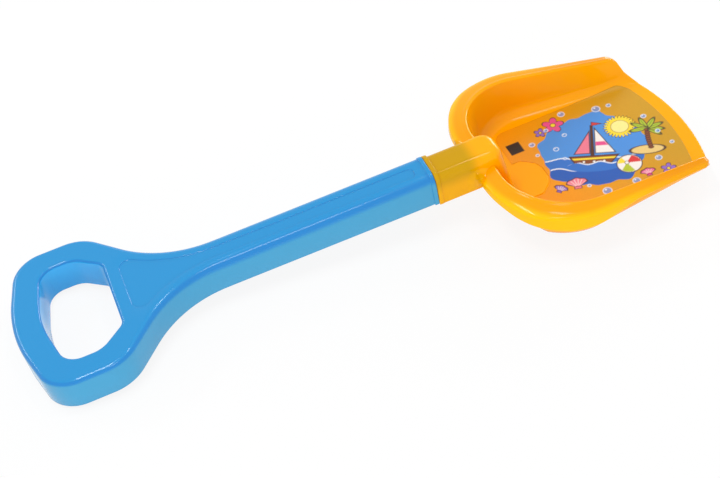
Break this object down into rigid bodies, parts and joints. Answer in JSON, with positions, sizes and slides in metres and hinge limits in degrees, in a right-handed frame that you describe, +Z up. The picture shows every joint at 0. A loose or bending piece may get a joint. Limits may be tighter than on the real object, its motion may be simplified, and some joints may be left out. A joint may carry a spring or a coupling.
{
  "type": "sand shovel",
  "caption": "Child's long-handled sand shovel: a D-grip handle of moulded plastic plugged into a shallow scoop with raised walls and a printed label on its floor.",
  "frame": {"origin": "middle of the base of the bounding box, on the ground that the shovel lies on", "axes": "+X from the grip to the digging edge, +Y across the shovel, +Z up; the shovel lies on the end of its grip and on the heel of its scoop"},
  "size_m": [0.4808, 0.1606, 0.0498],
  "materials": {
    "blue_plastic": "glossy injection-moulded polypropylene, slightly translucent",
    "yellow_plastic": "glossy injection-moulded polypropylene, translucent where it is thin",
    "printed_film": "printed film with a satin face"
  },
  "bodies": {
    "root": {"handle": "blue_plastic", "scoop": "yellow_plastic", "label": "printed_film"}
  },
  "joints": []
}
